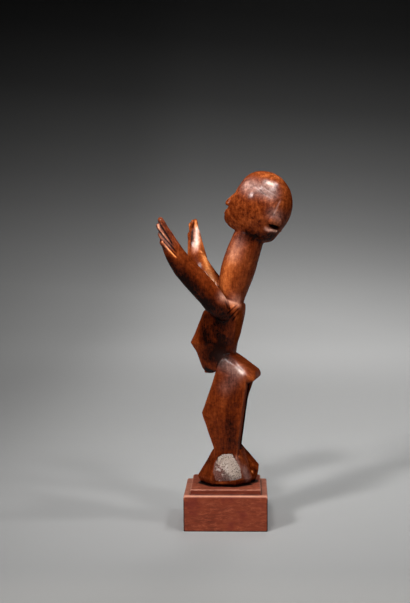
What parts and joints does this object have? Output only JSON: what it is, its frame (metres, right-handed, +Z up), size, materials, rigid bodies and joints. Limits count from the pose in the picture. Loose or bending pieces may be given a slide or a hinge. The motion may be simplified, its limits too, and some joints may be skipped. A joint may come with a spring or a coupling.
{
  "type": "carved wooden statuette",
  "caption": "Standing wooden figure leaning back with both hands raised in front of its face, polished egg-shaped head tilted up, on a stepped square plinth.",
  "frame": {"origin": "centre of the plinth's square underside", "axes": "+Z up; +X along the plinth's front face; +Y from the front face to the back. The figure looks towards -X, turned 14 degrees from it towards +Y"},
  "size_m": [0.0891, 0.0648, 0.235],
  "materials": {
    "figure_wood": "oiled and polished, glossy",
    "plinth_wood": "oiled, satin"
  },
  "bodies": {
    "root": {"figure": "figure_wood", "plinth": "plinth_wood"}
  },
  "joints": []
}
